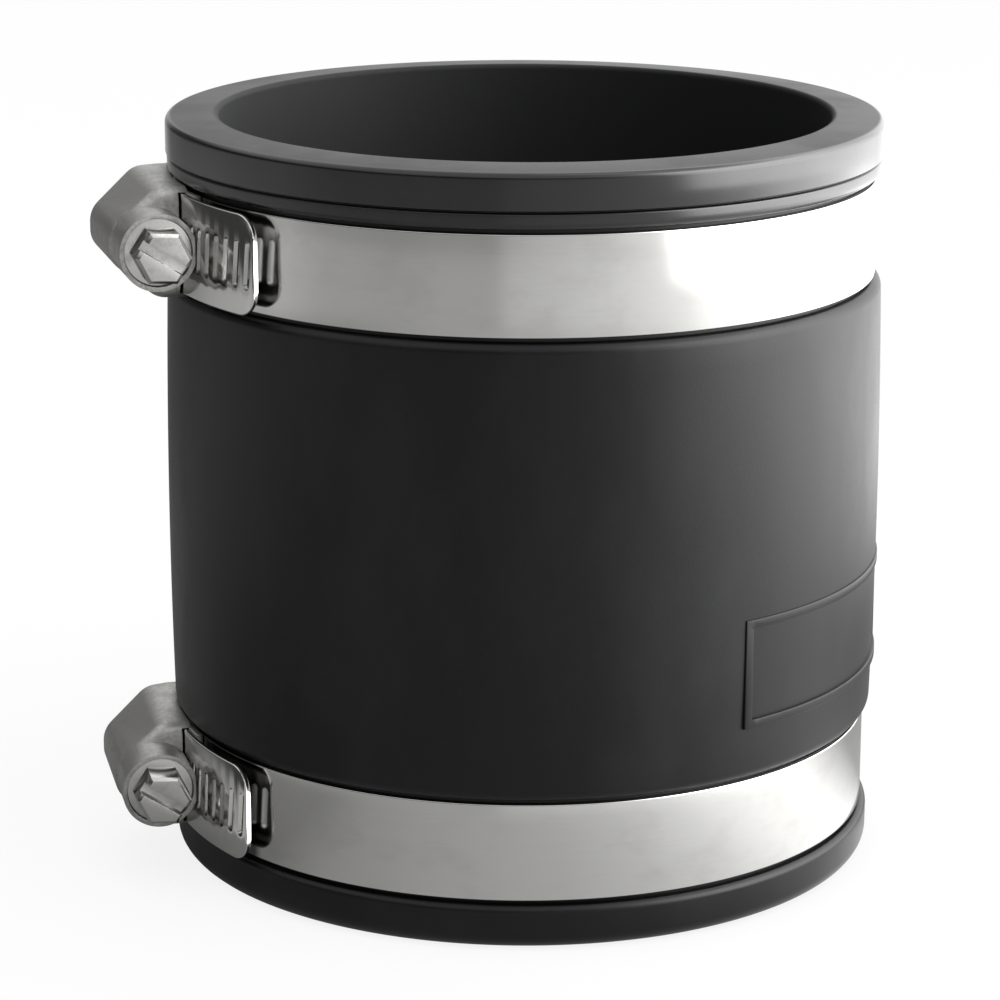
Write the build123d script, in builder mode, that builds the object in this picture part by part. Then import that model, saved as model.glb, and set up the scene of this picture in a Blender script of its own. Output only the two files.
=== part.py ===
from build123d import *
from math import asin, atan, cos, degrees, hypot, isclose, pi, radians, sin
import os

os.makedirs("parts", exist_ok=True)

# Millimetres. The sleeve stands on the centre of its lower end face, with +Z along its bore.
# Each clamp has a frame of its own: x points out from the sleeve axis through the middle of the
# screw housing, y runs along the screw towards its head, and z is up.

# Rubber sleeve
pipe_diameter = 88.9  # outside diameter of the two pipes
wall = 7.75
sleeve_length = 110.0
rim_slope = 0.4  # the top face falls this much from its inner to its outer edge
groove_depth = 1.65
groove_side_gap = 0.55  # beside each edge of a band
body_crown = 0.45  # the middle of the body stands out between the two clamps
upper_band_inset = 15.8  # from the end of the sleeve to the middle of the band
lower_band_inset = 14.1
lip_bead_height = 2.2  # low bead between the upper lip and its groove
lip_bead_step = 0.2
lip_crease = 0.5  # width and depth of the crease above the bead
mouth_round = 0.8
lip_round = 0.9
foot_round = 2.5
body_round = 1.5
groove_edge_round = 1.0

# Raised moulded border on the body
border_width = 48.0
border_height = 15.9
border_middle_height = 37.3
border_start_angle = 290.0  # its left side, seen with the screw housings at 180 degrees
border_rib = 1.3
border_proud = 0.35  # beyond the widest part of the body
border_sink = 1.0  # its ribs start this far inside the body
border_round = 0.3

# Slotted band
band_width = 14.2
band_thickness = 0.7
band_seat = 0.05  # between the band and the rubber, the saddle or its own inner turn
ramp_length = 13.0
ramp_lead = 1.0  # the free strip is at its full height this far before the saddle
tail_reach = 28.65  # from the middle of the housing to the end of the tail
tail_spring = 7.25  # the tail's radius is this much larger than the strip's under the worm
tail_corner = 3.5
thread_pitch = 2.54
slot_length = 6.8
slot_width = 1.25
slots_behind = 4  # of the middle of the housing
slot_end_margin = 1.5  # least distance from the last slot's middle to the tip

# Screw housing and its saddle
sheet = 0.75
side_clearance = 0.1
saddle_stand = 0.15  # the saddle's top face above the lips of the sleeve
saddle_back = 14.0
saddle_front = 11.0
foot_lap = 0.35  # the walls of the housing reach this far down the saddle's edges
housing_back = 12.5
housing_front = 8.0
housing_back_lean = 3.5
dome_rise = 5.7  # from the screw's axis to the top of the dome
shoulder_drop = 6.8  # from there down to the dome's shoulders
ridge_width = 4.6
housing_round = 3.6
housing_end_round = 1.9
collar_overlap = 2.5  # the collar starts this far inside the end of the dome
tunnel_angle = 40.0  # how far the passage for the strip is cut either way
band_tunnel_gap = 0.25
collar_wall = 0.65
collar_front = 14.0
collar_lip = 1.7  # depth of the seat for the screw's flange
bearing_web = 0.8

# Worm screw
screw_rise = 3.8  # from the strip's outer face to the screw's axis
thread_depth_in_band = 0.55
thread_root_gap = 0.2
crest_width = 0.7
thread_flank = 0.25
thread_root_sink = 0.15  # the thread's foot lies this far inside its root
thread_turns = 5
thread_shift = -0.8  # of the thread and its slots, along the screw
running_clearance = 0.08
flange_clearance = 0.1
flange_radius = 4.75
flange_thickness = 1.15
flange_seat = 0.05
neck_radius = 3.2
neck_gap = 0.2
pilot_radius = 2.4
pilot_length = 2.0
hex_across_flats = 7.0
hex_height = 5.1
hex_chamfer = 0.45
driver_slot_width = 1.4
driver_slot_depth = 2.0
driver_slot_angle = 57.0  # from straight up, towards the outside

lower_clamp_turn = -3.4  # about the sleeve, from the upper clamp

nearness = 1e-6  # two sizes this near each other are the same

# Height of each clamp's band, and the clamp's turn about the sleeve
upper_band_height = sleeve_length - upper_band_inset
lower_band_height = lower_band_inset
clamps = {"upper": (upper_band_height, 0.0), "lower": (lower_band_height, lower_clamp_turn)}

bore_radius = pipe_diameter / 2
lip_radius = bore_radius + wall
groove_radius = lip_radius - groove_depth
groove_half = band_width / 2 + groove_side_gap
band_inner = groove_radius + band_seat
band_outer = band_inner + band_thickness
turn_middle = band_inner + band_thickness / 2
saddle_inner = band_outer + band_seat
saddle_outer = lip_radius + saddle_stand
strip_inner = saddle_outer + band_seat
strip_outer = strip_inner + band_thickness
strip_middle = strip_inner + band_thickness / 2
tail_radius = strip_middle + tail_spring
tail_centre = strip_middle - tail_radius
screw_axis = strip_outer + screw_rise
housing_foot = saddle_outer - foot_lap
housing_top = screw_axis + dome_rise
housing_shoulder = housing_top - shoulder_drop
housing_inside = band_width / 2 + side_clearance
housing_half = housing_inside + sheet
thread_radius = screw_rise + thread_depth_in_band
root_radius = screw_rise - thread_root_gap
collar_inner = flange_radius + flange_clearance
collar_outer = collar_inner + collar_wall
collar_back = housing_front - collar_overlap
web_front = collar_front - collar_lip
web_back = web_front - bearing_web
hex_angle = driver_slot_angle + 180 / 6  # the driver slot runs from flat to flat
thread_start = thread_shift - thread_pitch * thread_turns / 2
border_radius = lip_radius + body_crown + border_proud
border_angle = degrees(border_width / border_radius)


def upright_plane(angle):
    """Plane through the sleeve's axis: its x points out at the angle, and its y is up."""
    turn = radians(angle)
    return Plane(origin=(0, 0, 0), x_dir=(cos(turn), sin(turn), 0), z_dir=(sin(turn), -cos(turn), 0))


def corners_at(section, radius, *heights):
    """The corners of a section that lie at one radius and at any of the heights."""
    corners = section.vertices().filter_by(lambda corner: isclose(corner.X, radius))
    return corners.filter_by(lambda corner: any(isclose(corner.Y, z, abs_tol=nearness) for z in heights))


def clamp_frame(height, turn):
    """Frame of a clamp: x out through the screw housing, y towards the screw's head."""
    angle = radians(180 + turn)
    return Plane(origin=(0, 0, height), x_dir=(cos(angle), sin(angle), 0), z_dir=(0, 0, 1))


def across(frame, along):
    """Plane square to the screw: its x is the frame's z, and its y is the frame's x."""
    return Plane(
        origin=frame.from_local_coords((0, along, 0)), x_dir=frame.z_dir, z_dir=frame.y_dir
    )


# Rubber sleeve: one moulding with a groove for each clamp
upper_groove_top = upper_band_height + groove_half
upper_groove_foot = upper_band_height - groove_half
lower_groove_top = lower_band_height + groove_half
lower_groove_foot = lower_band_height - groove_half
crease_foot = upper_groove_top + lip_bead_height
crease_top = crease_foot + lip_crease
body_middle = (upper_groove_foot + lower_groove_top) / 2

with BuildPart() as rubber_sleeve:
    with BuildSketch(Plane.XZ) as section:
        with BuildLine():
            foot = Polyline(
                (bore_radius, 0),
                (lip_radius, 0),
                (lip_radius, lower_groove_foot),
                (groove_radius, lower_groove_foot),
                (groove_radius, lower_groove_top),
                (lip_radius, lower_groove_top),
            )
            body = ThreePointArc(
                foot @ 1,
                (lip_radius + body_crown, body_middle),
                (lip_radius, upper_groove_foot),
            )
            Polyline(
                body @ 1,
                (groove_radius, upper_groove_foot),
                (groove_radius, upper_groove_top),
                (lip_radius - lip_bead_step, upper_groove_top),
                (lip_radius - lip_bead_step, crease_foot),
                (lip_radius - lip_bead_step - lip_crease, crease_foot + lip_crease / 2),
                (lip_radius, crease_top),
                (lip_radius, sleeve_length - rim_slope),
                (bore_radius, sleeve_length),
                (bore_radius, 0),
            )
        make_face()
        fillet(corners_at(section, bore_radius, 0, sleeve_length), radius=mouth_round)
        fillet(corners_at(section, lip_radius, 0), radius=foot_round)
        fillet(corners_at(section, lip_radius, lower_groove_foot), radius=groove_edge_round)
        fillet(
            corners_at(section, lip_radius, lower_groove_top, upper_groove_foot), radius=body_round
        )
        fillet(
            corners_at(section, lip_radius - lip_bead_step, upper_groove_top),
            radius=groove_edge_round,
        )
        fillet(corners_at(section, lip_radius, sleeve_length - rim_slope), radius=lip_round)
    revolve(axis=Axis.Z)

    # Raised border: two ribs round the body and two up it
    rib_base = lip_radius - border_sink
    rib_middle = (rib_base + border_radius) / 2
    long_rib_offset = (border_height - border_rib) / 2
    short_rib_angle = degrees(border_rib / border_radius)
    ribs = [
        (border_start_angle, border_angle, border_rib, -long_rib_offset),
        (border_start_angle, border_angle, border_rib, long_rib_offset),
        (border_start_angle, short_rib_angle, border_height, 0),
        (border_start_angle + border_angle - short_rib_angle, short_rib_angle, border_height, 0),
    ]
    for start_angle, sweep_angle, rib_height, rise in ribs:
        with BuildSketch(upright_plane(start_angle)):
            with Locations((rib_middle, border_middle_height + rise)):
                Rectangle(border_radius - rib_base, rib_height)
        revolve(axis=Axis.Z, revolution_arc=sweep_angle)
    border_edges = rubber_sleeve.edges().filter_by(
        lambda edge: isclose(hypot((edge @ 0.5).X, (edge @ 0.5).Y), border_radius, abs_tol=nearness)
    )
    fillet(border_edges, radius=border_round)
rubber_sleeve.part.label = "rubber_sleeve"
export_step(rubber_sleeve.part, "parts/rubber_sleeve.step")


def strip_side(shift):
    """One long side of the band in its clamp's plan, at a shift from the strip's middle."""
    turn = CenterArc((0, 0), turn_middle + shift, -lap_angle, 360 - lead_angle - ramp_angle)
    over = CenterArc((0, 0), strip_middle + shift, -lap_angle - lead_angle, lap_angle + lead_angle)
    Spline(turn @ 1, over @ 0, tangents=(turn % 1, over % 0))
    tail = CenterArc((tail_centre, 0), tail_radius + shift, 0, tail_angle)
    return turn @ 0, tail @ 1


# How far the saddle and the fixed end of the band run behind the middle of the housing
lap_angle = degrees(asin(saddle_back / saddle_inner))
lead_angle = degrees(ramp_lead / turn_middle)
ramp_angle = degrees(ramp_length / turn_middle)
saddle_front_angle = degrees(asin(saddle_front / saddle_inner))
tail_angle = degrees(tail_reach / tail_radius)
lead_of_thread = degrees(atan(thread_pitch / (2 * pi * (thread_radius - thread_depth_in_band))))
slots_ahead = int((tail_reach - slot_end_margin - thread_shift) / thread_pitch)

for name, (height, turn) in clamps.items():
    frame = clamp_frame(height, turn)

    # Band: one strip that starts under the saddle, goes round, climbs over its own start,
    # passes under the worm and ends in a slotted tail
    with BuildPart() as band:
        with BuildSketch(frame) as plan:
            with BuildLine():
                inner_start, inner_end = strip_side(-band_thickness / 2)
                outer_start, outer_end = strip_side(band_thickness / 2)
                Line(inner_start, outer_start)
                Line(inner_end, outer_end)
            make_face()
        extrude(amount=band_width / 2, both=True)
        tip = frame.from_local_coords(((inner_end + outer_end) / 2))
        corners = band.edges().filter_by(
            lambda edge: isclose(edge.length, band_thickness, abs_tol=nearness)
        )
        fillet(corners.sort_by_distance(tip)[:2], radius=tail_corner)
        for step in range(-slots_behind, slots_ahead + 1):
            reach = thread_shift + step * thread_pitch
            centre, radius = (0, strip_middle) if reach < 0 else (tail_centre, tail_radius)
            lean = reach / radius
            middle = frame.from_local_coords(
                (centre + radius * cos(lean), radius * sin(lean), 0)
            )
            outward = frame.from_local_coords((cos(lean), sin(lean), 0)) - frame.origin
            slot_plane = Plane(origin=middle, x_dir=frame.z_dir, z_dir=outward)
            with BuildSketch(slot_plane):
                SlotOverall(slot_length, slot_width, rotation=-lead_of_thread)
            extrude(amount=band_thickness, both=True, mode=Mode.SUBTRACT)
    band.part.label = f"{name}_band"
    export_step(band.part, f"parts/{name}_band.step")

    # Saddle: a curved plate on the band's fixed end, between the walls of the housing
    with BuildPart() as saddle:
        with BuildSketch(frame):
            with BuildLine():
                under = CenterArc((0, 0), saddle_inner, -lap_angle, lap_angle + saddle_front_angle)
                top = CenterArc((0, 0), saddle_outer, -lap_angle, lap_angle + saddle_front_angle)
                Line(under @ 0, top @ 0)
                Line(under @ 1, top @ 1)
            make_face()
        extrude(amount=housing_inside, both=True)
    saddle.part.label = f"{name}_saddle"
    export_step(saddle.part, f"parts/{name}_saddle.step")

    # Housing: a pressed sheet dome over the worm, with a round collar for the screw's head
    with BuildPart() as housing:
        with BuildSketch(across(frame, -housing_back)) as arch:
            with BuildLine():
                Polyline(
                    (-housing_half, groove_radius - wall),
                    (-housing_half, housing_shoulder),
                    (-ridge_width / 2, housing_top),
                    (ridge_width / 2, housing_top),
                    (housing_half, housing_shoulder),
                    (housing_half, groove_radius - wall),
                    close=True,
                )
            make_face()
            fillet(arch.vertices().group_by(Axis.Y)[1:], radius=housing_round)
        extrude(amount=housing_back + housing_front)
        with BuildSketch(frame) as outline:
            with BuildLine():
                Polyline(
                    (groove_radius - wall, -housing_back),
                    (saddle_outer, -housing_back),
                    (housing_top, -housing_back + housing_back_lean),
                    (housing_top, housing_front),
                    (groove_radius - wall, housing_front),
                    close=True,
                )
            make_face()
        extrude(amount=2 * housing_half, both=True, mode=Mode.INTERSECT)
        front_end = housing.faces().sort_by(Axis(frame.origin, frame.y_dir))[-1]
        back_end = housing.faces().sort_by(Axis(frame.origin, frame.y_dir))[0]
        rim = (front_end.edges() + back_end.edges()).filter_by(
            lambda edge: frame.to_local_coords(edge.center()).X > groove_radius
        )
        fillet(rim, radius=housing_end_round)
        outwards = Axis(frame.origin, frame.x_dir)
        offset(amount=-sheet, openings=housing.faces().sort_by(outwards)[0])
        with BuildSketch(across(frame, collar_back)):
            with Locations((0, screw_axis)):
                Circle(collar_outer)
        extrude(amount=collar_front - collar_back)
        with BuildSketch(across(frame, collar_back)):
            with Locations((0, screw_axis)):
                Circle(collar_inner)
        extrude(amount=web_back - collar_back, mode=Mode.SUBTRACT)
        with BuildSketch(across(frame, web_front)):
            with Locations((0, screw_axis)):
                Circle(collar_inner)
        extrude(amount=collar_lip, mode=Mode.SUBTRACT)
        with BuildSketch(across(frame, web_back)):
            with Locations((0, screw_axis)):
                Circle(neck_radius + running_clearance)
        extrude(amount=bearing_web, mode=Mode.SUBTRACT)
        with BuildSketch(frame):
            with BuildLine():
                tunnel_roof = strip_outer + band_tunnel_gap
                behind = CenterArc((0, 0), tunnel_roof, -tunnel_angle, tunnel_angle)
                ahead = CenterArc((tail_centre, 0), tunnel_roof - tail_centre, 0, tunnel_angle)
                Polyline(ahead @ 1, (0, 0), behind @ 0)
            make_face()
        extrude(amount=housing_inside, both=True, mode=Mode.SUBTRACT)
        with BuildSketch(frame):
            Circle(housing_foot)
        extrude(amount=2 * housing_half, both=True, mode=Mode.SUBTRACT)
    housing.part.label = f"{name}_housing"
    export_step(housing.part, f"parts/{name}_housing.step")

    # Worm screw: hexagon head with a driver slot, flange, neck, thread and pilot
    with BuildPart() as screw:
        neck_back = web_back - neck_gap
        flange_back = web_front + flange_seat
        stations = [
            (thread_start - pilot_length, thread_start, pilot_radius),
            (thread_start, neck_back, root_radius),
            (neck_back, flange_back, neck_radius),
            (flange_back, flange_back + flange_thickness, flange_radius),
        ]
        for start, end, radius in stations:
            with BuildSketch(across(frame, start)):
                with Locations((0, screw_axis)):
                    Circle(radius)
            extrude(amount=end - start)
        head_back = flange_back + flange_thickness
        with BuildSketch(across(frame, head_back)):
            with Locations((0, screw_axis)):
                RegularPolygon(hex_across_flats / 2, 6, major_radius=False, rotation=hex_angle)
        extrude(amount=hex_height)
        top_face = screw.faces().sort_by(Axis(frame.origin, frame.y_dir))[-1]
        chamfer(top_face.edges(), length=hex_chamfer)
        with BuildSketch(across(frame, head_back + hex_height - driver_slot_depth)):
            with Locations((0, screw_axis)):
                Rectangle(3 * flange_radius, driver_slot_width, rotation=driver_slot_angle)
        extrude(amount=driver_slot_depth, mode=Mode.SUBTRACT)
        thread_origin = frame.from_local_coords((screw_axis, thread_start, 0))
        thread_axis = Plane(origin=thread_origin, x_dir=frame.x_dir, z_dir=frame.y_dir)
        with BuildLine() as thread_line:
            turns = Edge.make_helix(thread_pitch, thread_pitch * thread_turns, root_radius)
            add(thread_axis.location * turns)
        thread_plane = Plane(
            origin=thread_line.line @ 0, x_dir=frame.x_dir, z_dir=thread_line.line % 0
        )
        with BuildSketch(thread_plane):
            with BuildLine():
                foot_half = crest_width / 2 + thread_flank
                Polyline(
                    (-thread_root_sink, -foot_half),
                    (thread_radius - root_radius, -crest_width / 2),
                    (thread_radius - root_radius, crest_width / 2),
                    (-thread_root_sink, foot_half),
                    close=True,
                )
            make_face()
        sweep(path=thread_line.line, is_frenet=True)
    screw.part.label = f"{name}_screw"
    export_step(screw.part, f"parts/{name}_screw.step")
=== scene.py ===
"""Dresses a rubber pipe coupling with its two worm-drive clamps and lights it in a studio."""

from __future__ import annotations

import logging
import math
from dataclasses import dataclass
from enum import Enum
from typing import Any, Sequence

import bpy
from mathutils import Matrix, Vector

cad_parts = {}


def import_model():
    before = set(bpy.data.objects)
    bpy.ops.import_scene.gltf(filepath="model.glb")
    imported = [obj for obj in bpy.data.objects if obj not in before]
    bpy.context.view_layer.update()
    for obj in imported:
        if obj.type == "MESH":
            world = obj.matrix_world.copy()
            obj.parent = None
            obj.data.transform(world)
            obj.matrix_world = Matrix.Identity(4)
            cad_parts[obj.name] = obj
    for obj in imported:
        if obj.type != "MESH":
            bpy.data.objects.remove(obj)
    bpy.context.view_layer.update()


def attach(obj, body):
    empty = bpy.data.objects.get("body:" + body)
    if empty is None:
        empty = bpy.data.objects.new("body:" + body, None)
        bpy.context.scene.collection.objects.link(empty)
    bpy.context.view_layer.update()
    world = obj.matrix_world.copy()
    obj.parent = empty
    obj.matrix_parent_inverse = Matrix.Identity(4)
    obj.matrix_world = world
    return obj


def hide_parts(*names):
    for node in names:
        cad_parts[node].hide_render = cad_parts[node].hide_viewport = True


MM = 0.001  # metres in a millimetre
LOWER_CLAMP, UPPER_CLAMP = 14.1, 94.2  # heights of the clamps' middles, in millimetres
MERGE_DISTANCE = 0.002  # vertices nearer than this are one, in millimetres
FLAT_WITHIN = 0.6  # edges of a copied solid that bend by less are dissolved, in degrees
MIX_FACTOR, MIX_FIRST, MIX_SECOND, MIX_RESULT = 0, 6, 7, 2  # the Mix node's sockets for colours
WHITE = (1.0, 1.0, 1.0, 1.0)
EVEN = (1.0, 1.0, 1.0)

Point = tuple[float, float, float]
Span = tuple[float, float]
Stops = tuple[Span, ...]
Colour = Point | bpy.types.NodeSocket

log = logging.getLogger("coupling")


class Field:
    """A number that changes over a surface, held as one socket of a finish's nodes."""

    def __init__(self, recipe: Recipe, socket: bpy.types.NodeSocket) -> None:
        """Keeps the socket and the recipe that new nodes go to."""
        self.recipe = recipe
        self.socket = socket

    def _math(self, operation: str, first: Any, second: Any) -> Field:
        """Adds one Math node.

        Args:
            operation: The Math node's operation.
            first: Left operand, a field or a number.
            second: Right operand, a field or a number.

        Returns:
            The node's result.
        """
        node = self.recipe.node("Math", {"operation": operation}, {0: first, 1: second})
        return Field(self.recipe, node.outputs[0])

    def __add__(self, other: Field | float) -> Field:
        """Sum of the two."""
        return self._math("ADD", self, other)

    def __radd__(self, other: float) -> Field:
        """Sum with a number on the left."""
        return self._math("ADD", other, self)

    def __sub__(self, other: Field | float) -> Field:
        """Difference of the two."""
        return self._math("SUBTRACT", self, other)

    def __rsub__(self, other: float) -> Field:
        """A number less this field."""
        return self._math("SUBTRACT", other, self)

    def __mul__(self, other: Field | float) -> Field:
        """Product of the two."""
        return self._math("MULTIPLY", self, other)

    def __rmul__(self, other: float) -> Field:
        """Product with a number on the left."""
        return self._math("MULTIPLY", other, self)

    def __truediv__(self, other: Field | float) -> Field:
        """Quotient of the two."""
        return self._math("DIVIDE", self, other)

    def __rtruediv__(self, other: float) -> Field:
        """A number over this field."""
        return self._math("DIVIDE", other, self)

    def least(self, other: Field | float) -> Field:
        """The lower of the two."""
        return self._math("MINIMUM", self, other)

    def root(self) -> Field:
        """Square root."""
        return self._math("SQRT", self, 0.0)

    def towards(self, other: Field | float, share: Field) -> Field:
        """Moves from this field to the other by a share."""
        return self + (other - self) * share

    def arc_tangent(self, other: Field) -> Field:
        """Angle whose tangent is this over the other, in radians."""
        return self._math("ARCTAN2", self, other)

    def between(self, low: float, high: float) -> Field:
        """Rises smoothly from 0 to 1.

        Args:
            low: Value up to which the result is 0.
            high: Value from which it is 1.

        Returns:
            The share of the rise.
        """
        inputs = {"Value": self, "From Min": low, "From Max": high}
        node = self.recipe.node("MapRange", {"interpolation_type": "SMOOTHSTEP"}, inputs)
        return Field(self.recipe, node.outputs["Result"])


class Recipe:
    """The nodes of one finish, or of the light round the coupling."""

    def __init__(self, owner: bpy.types.Material | bpy.types.World) -> None:
        """Opens the nodes of a material or of the world.

        Args:
            owner: What the nodes belong to.
        """
        self.owner = owner
        self.owner.use_nodes = True
        self.tree = owner.node_tree

    @classmethod
    def material(cls, name: str) -> Recipe:
        """Starts a material of that name."""
        return cls(bpy.data.materials.new(name))

    def node(
        self,
        kind: str,
        settings: dict[str, Any] | None = None,
        inputs: dict[str | int, Any] | None = None,
    ) -> bpy.types.Node:
        """Adds one node.

        Args:
            kind: The node's type, without its ShaderNode prefix.
            settings: The node's own settings, set before its sockets.
            inputs: Values or links of its sockets, by name or number.

        Returns:
            The new node.
        """
        node = self.tree.nodes.new(f"ShaderNode{kind}")
        for name, value in (settings or {}).items():
            if name == "stops":
                self.set_stops(node.color_ramp, value)
            else:
                setattr(node, name, value)
        for key, value in (inputs or {}).items():
            self.feed(node.inputs[key], value)
        return node

    @staticmethod
    def set_stops(ramp: bpy.types.ColorRamp, stops: Sequence[Span]) -> None:
        """Sets a ramp's grey stops.

        Args:
            ramp: The ramp, with its two stops at the ends.
            stops: Place and grey level of each stop.
        """
        while len(ramp.elements) < len(stops):
            ramp.elements.new(0.5)
        for element, (place, level) in zip(ramp.elements, stops):
            element.position = place
            element.color = (level, level, level, 1.0)

    def feed(self, socket: bpy.types.NodeSocket, value: Any) -> None:
        """Links a field or socket to an input, or sets a plain value on it.

        Args:
            socket: The input.
            value: A field, a socket or a plain value.
        """
        if isinstance(value, Field):
            self.tree.links.new(value.socket, socket)
        elif isinstance(value, bpy.types.NodeSocket):
            self.tree.links.new(value, socket)
        else:
            socket.default_value = value

    def place(self, stretch: Point = EVEN) -> bpy.types.NodeSocket:
        """Object coordinates, stretched along each axis.

        Args:
            stretch: Pattern density along x, y and z.

        Returns:
            The vector socket.
        """
        origin = self.node("TexCoord").outputs["Object"]
        return self.node("Mapping", None, {"Vector": origin, "Scale": stretch}).outputs["Vector"]

    def part_of_place(self, axis: str) -> Field:
        """One object coordinate, in metres."""
        split = self.node("SeparateXYZ", None, {"Vector": self.node("TexCoord").outputs["Object"]})
        return Field(self, split.outputs[axis])

    def noise(
        self, grain_mm: float, detail: float = 3.0, roughness: float = 0.5, stretch: Point = EVEN
    ) -> Field:
        """Soft noise.

        Args:
            grain_mm: Size of its largest features, in millimetres.
            detail: Number of finer layers.
            roughness: Strength of the finer layers.
            stretch: Pattern density along x, y and z.

        Returns:
            A field from 0 to 1 about 0.5.
        """
        inputs = {
            "Vector": self.place(stretch),
            "Scale": 1.0 / (grain_mm * MM),
            "Detail": detail,
            "Roughness": roughness,
        }
        return Field(self, self.node("TexNoise", None, inputs).outputs[0])

    def blend(self, amount: Field, first: Colour, second: Colour) -> bpy.types.NodeSocket:
        """Mixes two colours by a field.

        Args:
            amount: 0 for the first colour, 1 for the second.
            first: Colour, or a colour socket.
            second: Colour, or a colour socket.

        Returns:
            The mixed colour socket.
        """
        node = self.node("Mix", {"data_type": "RGBA"})
        self.feed(node.inputs[MIX_FACTOR], amount)
        for place, colour in ((MIX_FIRST, first), (MIX_SECOND, second)):
            plain = not isinstance(colour, bpy.types.NodeSocket)
            self.feed(node.inputs[place], (*colour, 1.0) if plain else colour)
        return node.outputs[MIX_RESULT]

    def bump(
        self, height: Field, depth_mm: float, under: bpy.types.NodeSocket | None = None
    ) -> bpy.types.NodeSocket:
        """Turns a height into a normal.

        Args:
            height: Height, as a share of the depth.
            depth_mm: Depth that a height of 1 stands for, in millimetres.
            under: Normal of a coarser bump below this one.

        Returns:
            The normal socket.
        """
        depth = depth_mm * MM
        inputs: dict[str | int, Any] = {"Height": height, "Distance": depth, "Strength": 1.0}
        if under is not None:
            inputs["Normal"] = under
        return self.node("Bump", None, inputs).outputs["Normal"]

    def finish(self, **sockets: Any) -> bpy.types.Material:
        """Feeds the shader.

        Args:
            **sockets: Values or links by socket name, with _ for a space.

        Returns:
            The finished material.
        """
        shader = self.tree.nodes["Principled BSDF"]
        for name, value in sockets.items():
            self.feed(shader.inputs[name.replace("_", " ")], value)
        return self.owner


class Slot(Enum):
    """Material slots of the record."""

    RUBBER = "rubber"
    BAND = "band_steel"
    HOUSING = "housing_steel"
    SCREW = "screw_steel"


@dataclass(frozen=True)
class MouldedRubber:
    """Black moulded rubber: satin skin, faint grain, pale bloom."""

    skin: Point = (0.0020, 0.0021, 0.0022)
    bloom: Point = (0.009, 0.0094, 0.0098)
    skin_roughness: float = 0.35
    bloom_roughness: float = 0.50
    cloud_mm: float = 22.0
    cloud_stretch: Point = (1.0, 1.0, 0.45)
    cloud_edges: Span = (0.42, 0.72)
    cloud_share: float = 0.55
    speck_mm: float = 1.1
    speck_edges: Span = (0.62, 0.74)
    speck_share: float = 0.18
    grain_mm: float = 0.35
    grain_depth_mm: float = 0.012
    ripple_mm: float = 16.0
    ripple_stretch: Point = (1.0, 1.0, 0.35)
    ripple_depth_mm: float = 0.10
    gloss: float = 0.32
    lip_shine: float = 0.12
    lip_skin: float = 0.75
    lip_skin_roughness: float = 0.09
    lip_height: Span = (100.0, 103.0)
    lip_radius: Span = (51.2, 51.8)
    # Painted light inside the bore: a lighter colour there, and a rougher surface.
    bore_painted_light: Point = (0.0075, 0.0078, 0.0080)
    bore_roughness: float = 0.38
    bore_edge: Span = (44.6, 45.4)

    def material(self) -> bpy.types.Material:
        """Builds the rubber's material: dusty all over, shinier on the lip, rougher in the bore
        and lighter there with painted light.

        Returns:
            The finished material.
        """
        recipe = Recipe.material("moulded_rubber")
        clouds = recipe.noise(
            self.cloud_mm, detail=5.0, roughness=0.6, stretch=self.cloud_stretch
        ).between(*self.cloud_edges)
        specks = recipe.noise(self.speck_mm, detail=2.0).between(*self.speck_edges)
        dust = clouds * self.cloud_share + specks * self.speck_share
        across, back, up = (recipe.part_of_place(axis) / MM for axis in "XYZ")
        radius = (across * across + back * back).root()
        lip = up.between(*self.lip_height) * radius.between(*self.lip_radius)
        # Mask of the bore, where the colour is lighter with painted light and the rubber is
        # rougher.
        bore = 1 - radius.between(*self.bore_edge)
        dulling = self.bloom_roughness - self.skin_roughness
        roughness = self.skin_roughness + dust * dulling - lip * self.lip_shine
        waves = recipe.noise(self.ripple_mm, detail=2.0, stretch=self.ripple_stretch)
        ripple = recipe.bump(waves, self.ripple_depth_mm)
        grain = recipe.noise(self.grain_mm, detail=3.0, roughness=0.6)
        # The base colour is lighter in the bore: painted light.
        return recipe.finish(
            Base_Color=recipe.blend(bore, recipe.blend(dust, self.skin, self.bloom), self.bore_painted_light),
            Roughness=roughness + bore * self.bore_roughness,
            Normal=recipe.bump(grain, self.grain_depth_mm, ripple),
            Specular_IOR_Level=self.gloss,
            Coat_Weight=lip * self.lip_skin,
            Coat_Roughness=self.lip_skin_roughness,
        )


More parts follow.
